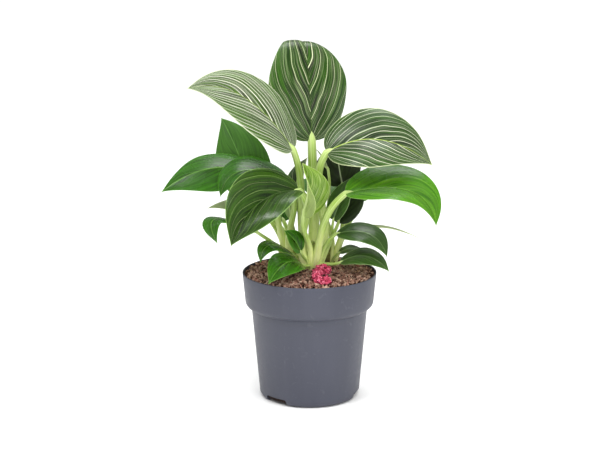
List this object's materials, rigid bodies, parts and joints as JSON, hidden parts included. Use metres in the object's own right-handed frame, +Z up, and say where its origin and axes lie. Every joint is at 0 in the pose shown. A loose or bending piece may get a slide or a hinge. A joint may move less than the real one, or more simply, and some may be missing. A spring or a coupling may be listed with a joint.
{
  "type": "potted philodendron",
  "caption": "Philodendron with cream-striped and plain green leaves on pale stalks, growing from short stems in a round stepped nursery pot of potting mix.",
  "frame": {"origin": "centre of the pot's flat underside, on the pot's axis", "axes": "+Z up along the pot's axis, -Y towards the plant's front, +X towards its right hand side as seen from the front"},
  "size_m": [0.2455, 0.1639, 0.3167],
  "materials": {
    "pot_plastic": "satin grey plastic",
    "potting_mix": "moist crumbly peat and fibre",
    "red_fibre": "matted fibre",
    "stem": "green stem with brownish scars",
    "leaf_stalk": "smooth pale green stalk",
    "striped_blade": "glossy dark green leaf with cream stripes along its side veins",
    "green_blade": "glossy plain green leaf"
  },
  "bodies": {
    "root": {"blade_back_left": "green_blade", "blade_behind_center": "striped_blade", "blade_behind_top": "striped_blade", "blade_far_left": "green_blade", "blade_front_left": "green_blade", "blade_inner_left": "green_blade", "blade_inner_right": "green_blade", "blade_low_back": "green_blade", "blade_low_center": "green_blade", "blade_low_left": "green_blade", "blade_low_right": "green_blade", "blade_low_right_back": "green_blade", "blade_lowest_right": "green_blade", "blade_mid_left": "green_blade", "blade_mid_right": "green_blade", "blade_rear_far_right": "green_blade", "blade_rear_left": "green_blade", "blade_rear_low_left": "green_blade", "blade_rear_middle": "green_blade", "blade_rear_right": "green_blade", "blade_shaded_right": "green_blade", "blade_soil_front": "green_blade", "blade_soil_left": "green_blade", "blade_top": "striped_blade", "blade_upper_left": "striped_blade", "blade_upper_right": "striped_blade", "blade_young": "striped_blade", "nursery_pot": "pot_plastic", "potting_mix": "potting_mix", "red_fibre_tuft": "red_fibre", "stalk_back_left": "leaf_stalk", "stalk_behind_center": "leaf_stalk", "stalk_behind_top": "leaf_stalk", "stalk_far_left": "leaf_stalk", "stalk_front_left": "leaf_stalk", "stalk_inner_left": "leaf_stalk", "stalk_inner_right": "leaf_stalk", "stalk_low_back": "leaf_stalk", "stalk_low_center": "leaf_stalk", "stalk_low_left": "leaf_stalk", "stalk_low_right": "leaf_stalk", "stalk_low_right_back": "leaf_stalk", "stalk_lowest_right": "leaf_stalk", "stalk_mid_left": "leaf_stalk", "stalk_mid_right": "leaf_stalk", "stalk_rear_far_right": "leaf_stalk", "stalk_rear_left": "leaf_stalk", "stalk_rear_low_left": "leaf_stalk", "stalk_rear_middle": "leaf_stalk", "stalk_rear_right": "leaf_stalk", "stalk_shaded_right": "leaf_stalk", "stalk_soil_front": "leaf_stalk", "stalk_soil_left": "leaf_stalk", "stalk_top": "leaf_stalk", "stalk_upper_left": "leaf_stalk", "stalk_upper_right": "leaf_stalk", "stalk_young": "leaf_stalk", "stem_front": "stem", "stem_left": "stem", "stem_right": "stem"}
  },
  "joints": []
}
